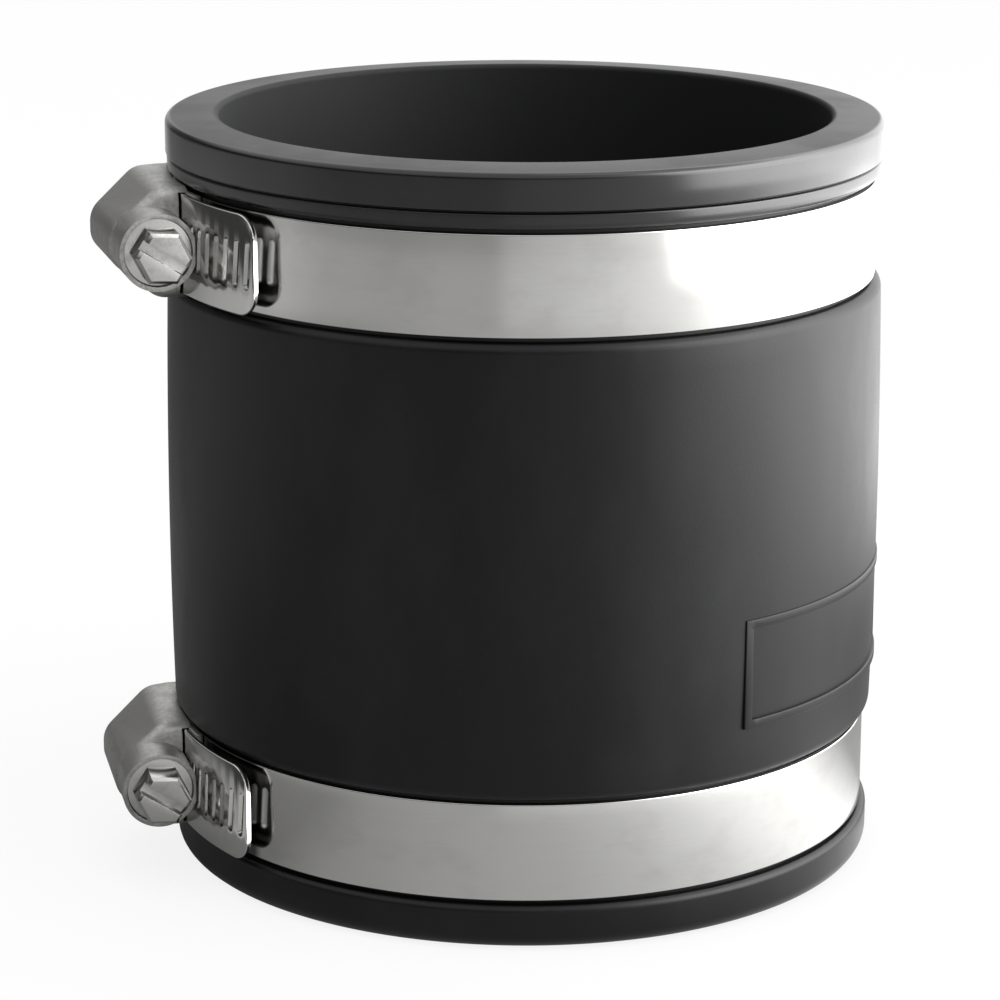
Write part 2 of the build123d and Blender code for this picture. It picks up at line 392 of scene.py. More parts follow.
@dataclass(frozen=True)
class RolledStrip:
    """Bright rolled stainless strip: grain along its length, smears, and painted shade on the
    first turn under the tail.
    """

    bright: Point = (0.66, 0.655, 0.64)
    dull: Point = (0.50, 0.495, 0.48)
    low_roughness: float = 0.11
    high_roughness: float = 0.26
    line_mm: float = 0.22
    line_stretch: Point = (0.02, 0.02, 1.0)
    line_share: float = 0.25
    line_depth_mm: float = 0.0016
    smear_mm: float = 9.0
    smear_stretch: Point = (1.0, 1.0, 1.6)
    smear_edges: Span = (0.45, 0.75)
    smear_share: float = 0.30
    wave_mm: float = 14.0
    wave_stretch: Point = (1.0, 1.0, 0.25)
    wave_depth_mm: float = 0.020
    overlap_radius_mm: float = 52.1
    overlap_blend_mm: float = 0.3
    clamp_reach_mm: float = 25.0
    foot_lean: float = 0.06
    upper_lean: float = 0.32
    lower_lean: float = 0.36
    fold_mm: float = 4.0
    # Painted shade on the first turn under the tail: its dark colour, the angles it spans, and how
    # softly it fades in and out.
    painted_shade: Point = (0.10, 0.098, 0.095)
    painted_shade_turn: Span = (-3.10, -2.70)
    painted_shade_fades: Span = (0.08, 0.04)

    def material(self) -> bpy.types.Material:
        """Builds the strip's material.

        Returns:
            The finished material.
        """
        recipe = Recipe.material("rolled_strip")
        lines = recipe.noise(self.line_mm, detail=4.0, roughness=0.65, stretch=self.line_stretch)
        smears = recipe.noise(
            self.smear_mm, detail=4.0, roughness=0.6, stretch=self.smear_stretch
        ).between(*self.smear_edges)
        wear = smears * self.smear_share + lines * self.line_share
        waves = recipe.noise(self.wave_mm, detail=1.0, stretch=self.wave_stretch)
        wave = recipe.bump(waves, self.wave_depth_mm)
        across, back, up = (recipe.part_of_place(axis) / MM for axis in "XYZ")
        radius = (across * across + back * back).root()
        overlap = radius.between(
            self.overlap_radius_mm, self.overlap_radius_mm + self.overlap_blend_mm
        )
        # Painted shade: the turn under the tail turns dark between these angles, and the
        # overlapping strip above is kept clear of it.
        first, last = self.painted_shade_turn
        first_fade, last_fade = self.painted_shade_fades
        turn = back.arc_tangent(across)
        dark = turn.between(first, first + first_fade) - turn.between(last, last + last_fade)
        bent = recipe.bump(self.curl(up) * overlap, 1.0, wave)
        polish = recipe.blend(wear, self.bright, self.dull)
        # The base colour carries the painted shade on the turn under the tail.
        return recipe.finish(
            Base_Color=recipe.blend((1 - overlap) * dark, polish, self.painted_shade),
            Metallic=1.0,
            Roughness=self.low_roughness + wear * (self.high_roughness - self.low_roughness),
            Normal=recipe.bump(lines, self.line_depth_mm, bent),
        )

    def curl(self, up: Field) -> Field:
        """Leans the overlapping strip of each clamp, a little below a soft fold and more above it.

        Args:
            up: Height above the floor, in millimetres.

        Returns:
            How far the surface stands out, in millimetres.
        """
        upper = up.between(LOWER_CLAMP + self.clamp_reach_mm, UPPER_CLAMP - self.clamp_reach_mm)
        offset = up - LOWER_CLAMP - upper * (UPPER_CLAMP - LOWER_CLAMP)
        lean = self.lower_lean + upper * (self.upper_lean - self.lower_lean)
        above = offset + self.fold_mm
        fold = (above * above + 1).root() * (lean - self.foot_lean)
        return (offset * (lean + self.foot_lean) + fold) * -0.5


@dataclass(frozen=True)
class TumbledSheet:
    """Pressed stainless sheet, dulled and mottled by tumbling."""

    pale: Point = (0.50, 0.495, 0.48)
    dark: Point = (0.36, 0.355, 0.345)
    low_roughness: float = 0.42
    high_roughness: float = 0.60
    pit_mm: float = 0.60
    pit_depth_mm: float = 0.022
    pit_edges: Span = (0.38, 0.66)
    pit_share: float = 0.5
    cloud_mm: float = 3.5
    cloud_edges: Span = (0.35, 0.70)
    cloud_share: float = 0.4

    def material(self) -> bpy.types.Material:
        """Builds the sheet's material.

        Returns:
            The finished material.
        """
        recipe = Recipe.material("tumbled_sheet")
        mottle = recipe.noise(self.pit_mm, detail=3.0, roughness=0.6)
        clouds = recipe.noise(self.cloud_mm, detail=3.0)
        pits = mottle.between(*self.pit_edges) * self.pit_share
        tone = pits + clouds.between(*self.cloud_edges) * self.cloud_share
        return recipe.finish(
            Base_Color=recipe.blend(tone, self.pale, self.dark),
            Metallic=1.0,
            Roughness=self.low_roughness + tone * (self.high_roughness - self.low_roughness),
            Normal=recipe.bump(mottle, self.pit_depth_mm),
        )


@dataclass(frozen=True)
class PlatedScrew:
    """Bright plated steel with turning marks."""

    bright: Point = (0.60, 0.595, 0.58)
    stained: Point = (0.38, 0.37, 0.34)
    low_roughness: float = 0.16
    high_roughness: float = 0.38
    stain_mm: float = 2.2
    stain_edges: Span = (0.48, 0.72)
    stain_share: float = 0.45
    mark_mm: float = 0.25
    mark_stretch: Point = (1.0, 0.3, 1.0)
    mark_share: float = 0.2
    mark_depth_mm: float = 0.006

    def material(self) -> bpy.types.Material:
        """Builds the screw's material.

        Returns:
            The finished material.
        """
        recipe = Recipe.material("plated_screw")
        stains = recipe.noise(self.stain_mm, detail=4.0, roughness=0.65).between(*self.stain_edges)
        marks = recipe.noise(self.mark_mm, detail=2.0, stretch=self.mark_stretch)
        tone = stains * self.stain_share + marks * self.mark_share
        return recipe.finish(
            Base_Color=recipe.blend(tone, self.bright, self.stained),
            Metallic=1.0,
            Roughness=self.low_roughness + tone * (self.high_roughness - self.low_roughness),
            Normal=recipe.bump(marks, self.mark_depth_mm),
        )


class Workpiece:
    """One mesh on the bench, shaped by operators. All its measures are in millimetres."""

    def __init__(self, name: str) -> None:
        """Lays a small plane at the origin to start from.

        Args:
            name: The piece's name.
        """
        self.leave_edit()
        bpy.ops.object.select_all(action="DESELECT")
        bpy.ops.mesh.primitive_plane_add(size=MM, location=(0, 0, 0))
        self.object: bpy.types.Object = bpy.context.object
        self.object.name = name
        self.object.data.name = name
        self.enter_edit()

    @staticmethod
    def leave_edit() -> None:
        """Goes back to object mode if need be."""
        if bpy.context.mode != "OBJECT":
            bpy.ops.object.mode_set(mode="OBJECT")

    def take_up(self) -> None:
        """Selects the piece alone, in object mode."""
        self.leave_edit()
        bpy.ops.object.select_all(action="DESELECT")
        self.object.select_set(True)
        bpy.context.view_layer.objects.active = self.object

    def enter_edit(self) -> None:
        """Opens the piece in edit mode, alone and with vertices as the selection."""
        self.take_up()
        bpy.ops.object.mode_set(mode="EDIT")
        bpy.ops.mesh.select_mode(type="VERT")

    @classmethod
    def line(cls, name: str, points: Sequence[Point], closed: bool = False) -> Workpiece:
        """Draws a line of edges by extruding one vertex from point to point.

        Args:
            name: The piece's name.
            points: The line's points.
            closed: Whether the last point joins the first.

        Returns:
            The line on the bench, all selected.
        """
        piece = cls(name)
        bpy.ops.mesh.select_all(action="SELECT")
        bpy.ops.mesh.merge(type="CENTER")
        piece.move(points[0])
        for start, end in zip(points, points[1:]):
            piece.extrude(tuple(b - a for a, b in zip(start, end)))
        if closed:
            piece.pick([Vector(points[0]), Vector(points[-1])])
            bpy.ops.mesh.edge_face_add()
        bpy.ops.mesh.select_all(action="SELECT")
        return piece

    @classmethod
    def copy_of(cls, node: str, name: str) -> Workpiece:
        """Copies a solid's mesh and merges its loose triangles.

        Args:
            node: The solid's node.
            name: The copy's name.

        Returns:
            The copy on the bench.
        """
        cls.leave_edit()
        piece = cls.__new__(cls)
        piece.object = bpy.data.objects.new(name, bpy.data.objects[node].data.copy())
        piece.object.data.name = name
        bpy.context.scene.collection.objects.link(piece.object)
        piece.enter_edit()
        bpy.ops.mesh.customdata_custom_splitnormals_clear()
        piece.merge()
        bpy.ops.mesh.mark_sharp(clear=True)
        bpy.ops.mesh.dissolve_limited(angle_limit=math.radians(FLAT_WITHIN))
        return piece

    def pick(self, places: Sequence[Vector]) -> None:
        """Selects the vertices at any of some places.

        Args:
            places: The places, in millimetres.
        """
        bpy.ops.mesh.select_all(action="DESELECT")
        bpy.ops.object.mode_set(mode="OBJECT")
        for vertex in self.object.data.vertices:
            nearest = min((vertex.co / MM - place).length for place in places)
            vertex.select = nearest < MERGE_DISTANCE
        bpy.ops.object.mode_set(mode="EDIT")

    def move(self, step: Sequence[float]) -> None:
        """Moves the selection."""
        bpy.ops.transform.translate(value=tuple(MM * s for s in step))

    def extrude(self, step: Sequence[float]) -> None:
        """Extrudes the selection by a step."""
        shift = {"value": tuple(MM * s for s in step)}
        bpy.ops.mesh.extrude_region_move(TRANSFORM_OT_translate=shift)

    def turn(self, angle: float, axis: str = "Z", about: Point = (0.0, 0.0, 0.0)) -> None:
        """Turns the selection anticlockwise by radians about an axis through a point."""
        pivot = tuple(MM * c for c in about)
        bpy.ops.transform.rotate(
            value=-angle, orient_axis=axis, orient_type="GLOBAL", center_override=pivot
        )

    def stretch(self, factors: Point, about: Point) -> None:
        """Scales the selection about a point."""
        bpy.ops.transform.resize(value=factors, center_override=tuple(MM * c for c in about))

    def spin(self, angle: float, steps: int, centre: Point = (0.0, 0.0, 0.0)) -> None:
        """Spins the selection anticlockwise by radians about an upright axis."""
        pivot = tuple(MM * c for c in centre)
        bpy.ops.mesh.spin(steps=steps, angle=-angle, center=pivot, axis=(0, 0, 1))

    def round_corners(self, radius: float, segments: int = 5) -> None:
        """Rounds the selected corners of a line."""
        bpy.ops.mesh.bevel(affect="VERTICES", offset=radius * MM, segments=segments)

    def fill(self) -> None:
        """Closes the selected loop with a face."""
        bpy.ops.mesh.edge_face_add()

    def merge(self) -> None:
        """Joins doubled vertices and points all faces outwards."""
        bpy.ops.mesh.select_all(action="SELECT")
        bpy.ops.mesh.remove_doubles(threshold=MERGE_DISTANCE * MM)
        bpy.ops.mesh.normals_make_consistent(inside=False)

    def apply(self, kind: str, **settings: Any) -> None:
        """Adds a modifier and applies it.

        Args:
            kind: The modifier's type.
            **settings: Its settings.
        """
        self.leave_edit()
        bpy.context.view_layer.objects.active = self.object
        modifier = self.object.modifiers.new(kind.lower(), kind)
        for name, value in settings.items():
            setattr(modifier, name, value)
        bpy.ops.object.modifier_apply(modifier=modifier.name)
        self.enter_edit()

    def soften(self, width: float, above: float, segments: int = 3) -> None:
        """Rounds every edge sharper than an angle.

        Args:
            width: Width of the rounding.
            above: Smallest angle that is rounded, in degrees.
            segments: Number of steps of the rounding.
        """
        limit = math.radians(above)
        self.apply(
            "BEVEL", width=width * MM, segments=segments, limit_method="ANGLE", angle_limit=limit
        )

    def cut(self, tool: Workpiece) -> None:
        """Cuts a tool's shape out of the piece, and throws the tool away."""
        self.apply("BOOLEAN", operation="DIFFERENCE", solver="EXACT", object=tool.object)
        bpy.data.objects.remove(tool.object)

    def seat(self, angle: float, height: float) -> None:
        """Turns the whole piece about the sleeve's axis and lifts it to its height.

        Args:
            angle: Turn anticlockwise, in radians.
            height: Height above the floor.
        """
        self.take_up()
        self.object.rotation_euler = (0.0, 0.0, angle)
        self.object.location = (0.0, 0.0, height * MM)
        bpy.ops.object.transform_apply(location=True, rotation=True, scale=True)

    def hand_over(
        self,
        material: bpy.types.Material,
        body: str,
        slot: Slot,
        replaces: Sequence[str] = (),
        crease: float = 35.0,
    ) -> bpy.types.Object:
        """Smooths and dresses the piece, and lets it ride on its body.

        Args:
            material: The piece's finish.
            body: The body that it moves with.
            slot: The record's slot for that finish; not used.
            replaces: Solids that it stands for.
            crease: Edges sharper than this many degrees stay sharp.

        Returns:
            The finished piece.
        """
        self.take_up()
        bpy.ops.object.shade_smooth_by_angle(angle=math.radians(crease))
        self.object.data.materials.clear()
        self.object.data.materials.append(material)
        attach(self.object, body)
        if replaces:
            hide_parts(*replaces)
        faces = len(self.object.data.polygons)
        log.info("%s: %d faces, rides on %s", self.object.name, faces, body)
        return self.object


@dataclass
class RubberSleeve:
    """The moulded sleeve and its raised border."""

    finish: bpy.types.Material
    body: str = "coupling"
    bore_radius: float = 44.45
    lip_radius: float = 52.2
    groove_radius: float = 50.55
    length: float = 110.0
    rim_slope: float = 0.4
    crown: float = 0.45
    lower_groove: Span = (6.45, 21.75)
    upper_groove: Span = (86.55, 101.85)
    bead_height: float = 2.2
    bead_step: float = 0.2
    crease_depth: float = 0.5
    crease_round: float = 0.12
    mouth_round: float = 0.8
    lip_round: float = 0.9
    foot_round: float = 2.5
    body_round: float = 1.5
    groove_round: float = 1.0
    fine_round: float = 0.5
    fine_segments: int = 3
    round_segments: int = 8
    around: int = 288
    crown_steps: int = 14
    border_size: Span = (50.4, 15.9)
    border_steps: int = 48
    border_laid: float = 270.0
    border_rib: float = 1.3
    border_radius: float = 53.0
    border_thickness: float = 1.35
    border_round: float = 0.60
    border_sink: float = 0.15
    border_height: float = 37.3
    border_start: float = 290.0

    def outline(self) -> list[Point]:
        """The section's corners.

        Returns:
            Radius, height and rounding of each corner, round the section.
        """
        low_foot, low_top = self.lower_groove
        high_foot, high_top = self.upper_groove
        bead = self.lip_radius - self.bead_step
        crease_foot = high_top + self.bead_height
        corners = [
            (self.bore_radius, 0.0, self.mouth_round),
            (self.lip_radius, 0.0, self.foot_round),
            (self.lip_radius, low_foot, self.groove_round),
            (self.groove_radius, low_foot, 0.0),
            (self.groove_radius, low_top, 0.0),
            (self.lip_radius, low_top, self.body_round),
        ]
        for step in range(1, self.crown_steps):
            share = step / self.crown_steps
            bulge = self.crown * (1 - (2 * share - 1) ** 2)
            corners.append((self.lip_radius + bulge, low_top + share * (high_foot - low_top), 0.0))
        corners += [
            (self.lip_radius, high_foot, self.body_round),
            (self.groove_radius, high_foot, 0.0),
            (self.groove_radius, high_top, 0.0),
            (bead, high_top, self.groove_round),
            (bead, crease_foot, self.crease_round),
            (bead - self.crease_depth, crease_foot + self.crease_depth / 2, self.crease_round),
            (self.lip_radius, crease_foot + self.crease_depth, self.crease_round),
            (self.lip_radius, self.length - self.rim_slope, self.lip_round),
            (self.bore_radius, self.length, self.mouth_round),
        ]
        return corners

    def build_sleeve(self) -> bpy.types.Object:
        """Spins the rounded section into the sleeve.

        Returns:
            The finished sleeve.
        """
        corners = self.outline()
        section = [(radius, 0.0, height) for radius, height, _ in corners]
        piece = Workpiece.line("sleeve_moulding", section, closed=True)
        for rounding in sorted({own for _, _, own in corners if own > 0}):
            places = [Vector((r, 0.0, z)) for r, z, own in corners if own == rounding]
            piece.pick(places)
            segments = self.round_segments if rounding > self.fine_round else self.fine_segments
            piece.round_corners(rounding, segments)
        bpy.ops.mesh.select_all(action="SELECT")
        piece.spin(2 * math.pi, self.around)
        piece.merge()
        return piece.hand_over(self.finish, self.body, Slot.RUBBER, ["rubber_sleeve"], crease=40.0)

    def build_border(self) -> bpy.types.Object:
        """Raises the bare rectangular border out of the body.

        Returns:
            The finished border.
        """
        width, height = self.border_size
        reach = width / 2
        ends = [(-reach, 0.0, -height / 2), (-reach, 0.0, height / 2)]
        piece = Workpiece.line("moulded_border", ends)
        for _ in range(self.border_steps):
            piece.extrude((width / self.border_steps, 0.0, 0.0))
        bpy.ops.mesh.select_all(action="SELECT")
        bpy.ops.mesh.inset(thickness=self.border_rib * MM, depth=0.0)
        bpy.ops.mesh.delete(type="FACE")
        piece.merge()
        piece.apply("SOLIDIFY", thickness=self.border_thickness * MM, offset=0.0)
        piece.merge()
        piece.soften(self.border_round, above=60.0)
        middle = self.border_radius - self.border_thickness / 2 - self.border_sink
        wrap = width / middle
        piece.apply("SIMPLE_DEFORM", deform_method="BEND", deform_axis="Z", angle=wrap)
        bpy.ops.mesh.select_all(action="SELECT")
        piece.move((0.0, -middle, self.border_height))
        piece.turn(math.radians(self.border_start - self.border_laid) + wrap / 2)
        return piece.hand_over(self.finish, self.body, Slot.RUBBER)

    def build(self) -> None:
        """Builds both pieces of the moulding."""
        self.build_sleeve()
        self.build_border()


@dataclass
class WormClamp:
    """One worm-drive band clamp.

    In its own frame x points out through the housing and y towards the screw's head.
    """

    name: str
    height: float
    turn: float
    band_finish: bpy.types.Material
    housing_finish: bpy.types.Material
    screw_finish: bpy.types.Material
    body: str = "coupling"
    width: float = 14.2
    thickness: float = 0.7
    rolled_edge: float = 0.22
    turn_middle: float = 50.95
    strip_middle: float = 52.75
    tail_radius: float = 60.0
    tail_reach: float = 28.65
    tail_corner: float = 3.5
    tail_slant: float = 16.0
    lap_reach: float = 14.0
    lap_radius: float = 51.35
    lead: float = 1.0
    ramp: float = 13.0
    pitch: float = 2.54
    slot_size: Span = (1.25, 6.8)
    slot_roundness: float = 0.98
    slots: range = range(-4, 12)
    thread_shift: float = -0.8
    thread_radius: float = 3.8
    sheet_edge: float = 0.15
    head_edge: float = 0.15
    turn_steps: int = 250
    lap_steps: int = 14
    tail_steps: int = 40

    @property
    def angle(self) -> float:
        """Turn of the clamp's frame in the coupling's, in radians."""
        return math.radians(180.0 + self.turn)

    @property
    def lead_of_thread(self) -> float:
        """Lean of the thread and its slots, in radians."""
        return math.atan2(self.pitch, 2 * math.pi * self.thread_radius)

    def band_section(self) -> Workpiece:
        """Draws the strip's cross-section where the band starts, with rolled edges.

        Returns:
            The section on the bench, as a face.
        """
        near = self.turn_middle - self.thickness / 2
        far = self.turn_middle + self.thickness / 2
        half = self.width / 2
        corners = [(near, 0.0, -half), (far, 0.0, -half), (far, 0.0, half), (near, 0.0, half)]
        piece = Workpiece.line(f"{self.name}_strip", corners, closed=True)
        piece.round_corners(self.rolled_edge, segments=3)
        bpy.ops.mesh.select_all(action="SELECT")
        piece.fill()
        return piece

    def build_band(self) -> bpy.types.Object:
        """Runs the section once round, up the ramp, over its own start and out into the tail.

        Returns:
            The finished band, with its slots.
        """
        lap = math.asin(self.lap_reach / self.lap_radius)
        lead = self.lead / self.turn_middle
        ramp = self.ramp / self.turn_middle
        piece = self.band_section()
        piece.turn(-lap)
        piece.spin(2 * math.pi - lead - ramp, self.turn_steps)
        start = -lap - lead - ramp
        self.climb(piece, start, ramp)
        piece.spin(lap + lead, self.lap_steps)
        tail_centre = self.strip_middle - self.tail_radius
        tail = (self.tail_reach - self.tail_corner) / self.tail_radius
        piece.spin(tail, self.tail_steps, (tail_centre, 0.0, 0.0))
        self.round_tip(piece, tail_centre, tail)
        piece.merge()
        piece.cut(self.slot_cutters(tail_centre))
        piece.seat(self.angle, self.height)
        node = f"{self.name}_band"
        return piece.hand_over(self.band_finish, self.body, Slot.BAND, [node], crease=32.0)

    def climb(self, piece: Workpiece, start: float, ramp: float, steps: int = 18) -> None:
        """Extrudes the strip's end up from the turn below to the height of the strip above.

        Args:
            piece: The band, with its end selected.
            start: Angle where the ramp starts, in radians.
            ramp: Angle that it takes.
            steps: Number of stations.
        """
        rise = self.strip_middle - self.turn_middle

        def station(share: float) -> tuple[Vector, float]:
            """Finds a station of the ramp.

            Args:
                share: Share of the ramp that lies behind it.

            Returns:
                Place and heading of the strip there.
            """
            angle = start + ramp * share
            radius = self.turn_middle + rise * share * share * (3 - 2 * share)
            slope = rise * 6 * share * (1 - share) / ramp
            place = Vector((radius * math.cos(angle), radius * math.sin(angle), 0.0))
            return place, angle - math.atan2(slope, radius)

        place, heading = station(0.0)
        for step in range(1, steps + 1):
            next_place, next_heading = station(step / steps)
            piece.extrude(next_place - place)
            piece.turn(next_heading - heading, about=tuple(next_place))
            place, heading = next_place, next_heading

    def round_tip(
        self, piece: Workpiece, tail_centre: float, start: float, steps: int = 10
    ) -> None:
        """Extrudes the last of the tail with round corners, and slants its end.

        Args:
            piece: The band, with its end selected.
            tail_centre: Centre of the tail's curve on the x axis.
            start: Angle where the rounding starts, in radians.
            steps: Number of stations, each narrower than the one before.
        """
        corner = self.tail_corner
        straight = self.width / 2 - corner
        middle, half, angle = self.tail_point(tail_centre, start), self.width / 2, start
        for step in range(1, steps + 1):
            along = corner * math.sin(math.pi / 2 * step / steps)
            next_half = straight + math.sqrt(max(corner**2 - along**2, 0.0))
            next_angle = start + along / self.tail_radius
            next_middle = self.tail_point(tail_centre, next_angle)
            piece.extrude(next_middle - middle)
            piece.turn(next_angle - angle, about=tuple(next_middle))
            piece.stretch((1.0, 1.0, next_half / half), about=tuple(next_middle))
            middle, half, angle = next_middle, next_half, next_angle
        inner = middle - Vector((math.cos(angle), math.sin(angle), 0.0)) * (self.thickness / 2)
        piece.turn(-math.radians(self.tail_slant), about=tuple(inner))

    def tail_point(self, tail_centre: float, angle: float) -> Vector:
        """Middle of the tail's strip at an angle from the housing's middle."""
        radius = self.tail_radius
        return Vector((tail_centre + radius * math.cos(angle), radius * math.sin(angle), 0.0))

    def slot_cutters(self, tail_centre: float) -> Workpiece:
        """Lays one cutter on each thread slot.

        Args:
            tail_centre: Centre of the tail's curve on the x axis.

        Returns:
            All the cutters as one piece.
        """
        breadth, length = self.slot_size
        across, along = breadth / 2, length / 2
        signs = ((-1, -1), (1, -1), (1, 1), (-1, 1))
        corners = [(0.0, side * across, end * along) for side, end in signs]
        cutter = Workpiece.line(f"{self.name}_cutters", corners, closed=True)
        cutter.round_corners(across * self.slot_roundness, segments=6)
        bpy.ops.mesh.select_all(action="SELECT")
        cutter.fill()
        cutter.extrude((2 * self.thickness, 0.0, 0.0))
        bpy.ops.mesh.select_all(action="SELECT")
        cutter.move((-self.thickness, 0.0, 0.0))
        cutter.turn(-self.lead_of_thread, axis="X")
        bpy.ops.mesh.normals_make_consistent(inside=False)
        previous = Vector((0.0, 0.0, 0.0))
        previous_lean = 0.0
        for count, step in enumerate(self.slots):
            reach = self.thread_shift + step * self.pitch
            if reach < 0:
                lean = reach / self.strip_middle
                middle = Vector((math.cos(lean), math.sin(lean), 0.0)) * self.strip_middle
            else:
                lean = reach / self.tail_radius
                middle = self.tail_point(tail_centre, lean)
            if count:
                bpy.ops.mesh.duplicate()
            cutter.move(middle - previous)
            cutter.turn(lean - previous_lean, about=tuple(middle))
            previous, previous_lean = middle, lean
        cutter.leave_edit()
        return cutter

    def build_housing(self) -> None:
        """Dresses the pressed housing and the saddle below it."""
        for node in (f"{self.name}_housing", f"{self.name}_saddle"):
            piece = Workpiece.copy_of(node, f"{node}_pressing")
            piece.soften(self.sheet_edge, above=55.0)
            piece.hand_over(self.housing_finish, self.body, Slot.HOUSING, [node], crease=40.0)

    def build_screw(self) -> None:
        """Dresses the worm screw."""
        node = f"{self.name}_screw"
        piece = Workpiece.copy_of(node, f"{self.name}_worm")
        piece.soften(self.head_edge, above=40.0)
        piece.hand_over(self.screw_finish, node, Slot.SCREW, [node], crease=40.0)

    def build(self) -> None:
        """Builds every piece of the clamp."""
        self.build_band()
        self.build_housing()
        self.build_screw()


@dataclass(frozen=True)
class Lamp:
    """A soft rectangular lamp that faces the coupling, placed by degrees and metres."""

    name: str
    azimuth: float
    elevation: float
    distance: float
    size: Span
    power: float


@dataclass
class Studio:
    """Pale floor, soft light and the camera, in metres and degrees.

    The stops of the walls and of the floor give the level of light by compass direction, in
    degrees from the camera's side. White is 1.
    """

    floor_size: float = 6.0
    floor_drop: float = 0.05 * MM
    floor_paint: float = 0.86
    camera_distance: float = 0.5352
    camera_height: float = 0.1949
    camera_azimuth: float = -16.15
    pitch: float = 15.04
    yaw: float = 0.367
    roll: float = 0.19
    focal_px: float = 3708.0
    frame_px: float = 1000.0
    sensor_mm: float = 36.0
    nearest_seen: float = 0.01
    lamps: tuple[Lamp, ...] = (
        Lamp("right_softbox", 70.0, 30.0, 0.9, (1.3, 1.6), 6.0),
        Lamp("top_fill", 10.0, 75.0, 1.3, (1.2, 1.2), 4.0),
    )
    lamp_aim: Point = (0.0, 0.0, 0.055)
    floor_glow: float = 0.86
    matt_level: float = 1.2
    ceiling: float = 0.90
    ceiling_rise: Span = (0.34, 0.74)
    skirting_rise: Span = (0.10, 0.22)
    dimming_rise: Span = (0.60, 0.88)
    dimming: float = 0.85
    far_reach: Span = (0.15, 0.30)
    wall_reach: Span = (0.43, 0.56)
    right_wall: Span = (0.61, 0.66)
    walls: Stops = (
        (-180.0, 1.02), (-170.0, 0.78), (-156.0, 0.10), (-130.0, 0.05), (-20.0, 0.05),
        (24.0, 0.35), (42.0, 1.20), (52.0, 5.40), (66.0, 7.20), (84.0, 7.20),
        (104.0, 6.00), (124.0, 3.80), (146.0, 1.90), (162.0, 1.60), (174.0, 1.25),
        (180.0, 1.02),
    )
    far_floor: Stops = (
        (-180.0, 1.00), (-150.0, 0.05), (-132.0, 0.12), (-106.0, 0.40), (-80.0, 0.52),
        (-64.0, 0.38), (-41.0, 0.34), (-24.0, 0.38), (-9.0, 0.38), (-4.0, 0.56),
        (13.0, 0.70), (26.0, 0.86), (40.0, 1.08), (50.0, 1.30), (69.0, 2.60),
        (84.0, 4.80), (125.0, 4.60), (150.0, 2.00), (180.0, 1.00),
    )
    near_floor: Stops = (
        (-180.0, 0.30), (-130.0, 0.20), (-90.0, 0.11), (-72.0, 0.12), (-56.0, 0.14),
        (-41.0, 0.27), (-24.0, 0.35), (-7.0, 0.41), (10.0, 0.49), (27.0, 0.66),
        (45.0, 1.02), (64.0, 1.58), (85.0, 1.85), (110.0, 0.42), (138.0, 0.25),
        (180.0, 0.30),
    )

    def place_camera(self) -> None:
        """Sets the camera where the coupling is seen from."""
        camera_data = bpy.data.cameras.new("camera")
        camera = bpy.data.objects.new("camera", camera_data)
        bpy.context.scene.collection.objects.link(camera)
        camera_data.sensor_width = self.sensor_mm
        camera_data.lens = self.focal_px / self.frame_px * self.sensor_mm
        camera_data.clip_start = self.nearest_seen
        azimuth = math.radians(self.camera_azimuth)
        spot = Vector((math.sin(azimuth), -math.cos(azimuth), 0.0)) * self.camera_distance
        spot.z = self.camera_height
        aim = (
            Matrix.Rotation(azimuth + math.radians(self.yaw), 4, "Z")
            @ Matrix.Rotation(math.radians(90.0 - self.pitch), 4, "X")
            @ Matrix.Rotation(math.radians(self.roll), 4, "Z")
        )
        camera.matrix_world = Matrix.Translation(spot) @ aim
        bpy.context.scene.camera = camera

    def compass(self, recipe: Recipe, direction: bpy.types.NodeSocket) -> Field:
        """Compass direction from the camera's side, as a share of the full turn.

        Args:
            recipe: The nodes to add to.
            direction: Direction from the coupling, as a vector socket.

        Returns:
            0.5 towards the camera, more to its right and less to its left.
        """
        turn = math.radians(self.camera_azimuth)
        right = (math.cos(turn), math.sin(turn), 0.0)
        front = (math.sin(turn), -math.cos(turn), 0.0)
        parts = []
        for axis in (right, front):
            node = recipe.node("VectorMath", {"operation": "DOT_PRODUCT"}, {0: direction, 1: axis})
            parts.append(Field(recipe, node.outputs["Value"]))
        return parts[0].arc_tangent(parts[1]) / (2 * math.pi) + 0.5

    @staticmethod
    def level(recipe: Recipe, compass: Field, stops: Stops) -> Field:
        """Brightness of the room round the coupling.

        Args:
            recipe: The nodes to add to.
            compass: Compass direction, as a share of the full turn.
            stops: Degrees from the camera's side and the brightness there.

        Returns:
            The brightness, where 1 is white.
        """
        peak = max(bright for _, bright in stops)
        places = [(0.5 + degrees / 360.0, bright / peak) for degrees, bright in stops]
        ramp = recipe.node("ValToRGB", {"stops": places}, {"Fac": compass})
        return Field(recipe, ramp.outputs["Color"]) * peak

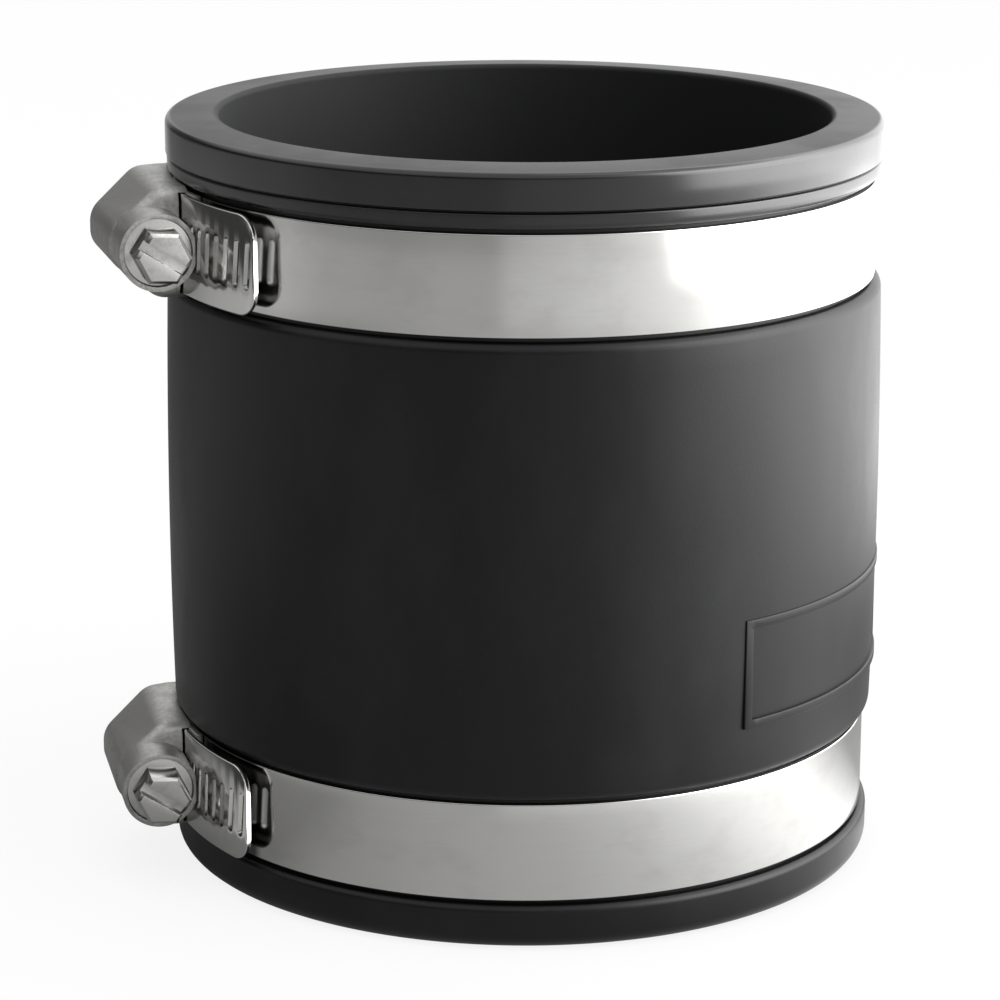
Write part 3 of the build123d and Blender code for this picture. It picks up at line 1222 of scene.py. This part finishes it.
    def lay_floor(self) -> None:
        """Lays the pale floor, which shows as white and keeps a soft shadow; what shines back from
        it is painted light, brighter to the right.
        """
        bpy.ops.object.select_all(action="DESELECT")
        bpy.ops.mesh.primitive_plane_add(size=self.floor_size, location=(0, 0, -self.floor_drop))
        floor = bpy.context.object
        floor.name = "floor"
        recipe = Recipe.material("pale_floor")
        seen, glossy = self.rays(recipe)
        place = recipe.node("TexCoord").outputs["Object"]
        length = recipe.node("VectorMath", {"operation": "LENGTH"}, {0: place})
        reach = Field(recipe, length.outputs["Value"])
        compass = self.compass(recipe, place)
        near, far, walls = (
            self.level(recipe, compass, stops)
            for stops in (self.near_floor, self.far_floor, self.walls)
        )
        # Painted light: in what shines back, the floor glows dimly near the coupling and to its
        # left, and brightly to its right and further out.
        right = compass.between(*self.right_wall)
        level = near.towards(far, reach.between(*self.far_reach))
        level = level.towards(walls, right * reach.between(*self.wall_reach))
        strength = seen + glossy * level
        glow = recipe.node("Emission", None, {"Color": WHITE, "Strength": strength})
        paint = (self.floor_paint, self.floor_paint, self.floor_paint, 1.0)
        matt = recipe.node("BsdfDiffuse", None, {"Color": paint})
        share = (seen + glossy) * self.floor_glow
        mix = recipe.node("MixShader", None, {0: share, 1: matt.outputs[0], 2: glow.outputs[0]})
        recipe.feed(recipe.tree.nodes["Material Output"].inputs["Surface"], mix.outputs[0])
        floor.data.materials.append(recipe.owner)

    @staticmethod
    def rays(recipe: Recipe) -> tuple[Field, Field]:
        """Tells rays apart.

        Args:
            recipe: The nodes to add to.

        Returns:
            1 for what the camera sees straight or through glass, and 1 for what shines back.
        """
        paths = recipe.node("LightPath")
        rays = ("Camera", "Transmission", "Glossy")
        camera, through, glossy = (Field(recipe, paths.outputs[f"Is {ray} Ray"]) for ray in rays)
        return camera + through, glossy

    def set_world(self) -> None:
        """Sets plain walls to light the coupling and show in its steel, white to the camera."""
        world = bpy.data.worlds.new("surround")
        bpy.context.scene.world = world
        recipe = Recipe(world)
        seen, glossy = self.rays(recipe)
        direction = recipe.node("TexCoord").outputs["Generated"]
        split = recipe.node("SeparateXYZ", None, {"Vector": direction})
        rise = Field(recipe, split.outputs["Z"])
        compass = self.compass(recipe, direction)
        walls = self.level(recipe, compass, self.walls)
        low = self.level(recipe, compass, self.far_floor)
        left = 1 - compass.between(*self.right_wall)
        skirting = (1 - rise.between(*self.skirting_rise)) * left
        walls = walls * (1 - rise.between(*self.dimming_rise) * self.dimming)
        room = walls.towards(low, skirting) + rise.between(*self.ceiling_rise) * self.ceiling
        matt = (1 - seen - glossy) * room.least(self.matt_level)
        background = recipe.tree.nodes["Background"]
        recipe.feed(background.inputs["Color"], WHITE)
        recipe.feed(background.inputs["Strength"], seen + glossy * room + matt)

    def hang_lamps(self) -> None:
        """Hangs the soft lamps, a large one on the right and a fill from above."""
        for lamp in self.lamps:
            data = bpy.data.lights.new(lamp.name, "AREA")
            data.shape = "RECTANGLE"
            data.size, data.size_y = lamp.size
            data.energy = lamp.power
            hung = bpy.data.objects.new(lamp.name, data)
            hung.visible_glossy = False
            bpy.context.scene.collection.objects.link(hung)
            turn = math.radians(self.camera_azimuth + lamp.azimuth)
            lift = math.radians(lamp.elevation)
            flat = math.cos(lift)
            away = Vector((math.sin(turn) * flat, -math.cos(turn) * flat, math.sin(lift)))
            hung.location = away * lamp.distance + Vector(self.lamp_aim)
            hung.rotation_euler = away.to_track_quat("Z", "Y").to_euler()

    def build(self) -> None:
        """Sets up the whole studio."""
        bpy.context.scene.view_settings.view_transform = "Standard"
        self.place_camera()
        self.lay_floor()
        self.set_world()
        self.hang_lamps()


def main() -> None:
    """Builds the coupling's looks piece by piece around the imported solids."""
    logging.basicConfig(level=logging.INFO, format="%(name)s: %(message)s")
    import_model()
    steel, sheet, plated = (kind().material() for kind in (RolledStrip, TumbledSheet, PlatedScrew))
    RubberSleeve(MouldedRubber().material()).build()
    WormClamp("upper", UPPER_CLAMP, 0.0, steel, sheet, plated).build()
    WormClamp("lower", LOWER_CLAMP, -3.4, steel, sheet, plated).build()
    Studio().build()
    log.info("all pieces are in place")


if __name__ == "__main__":
    main()
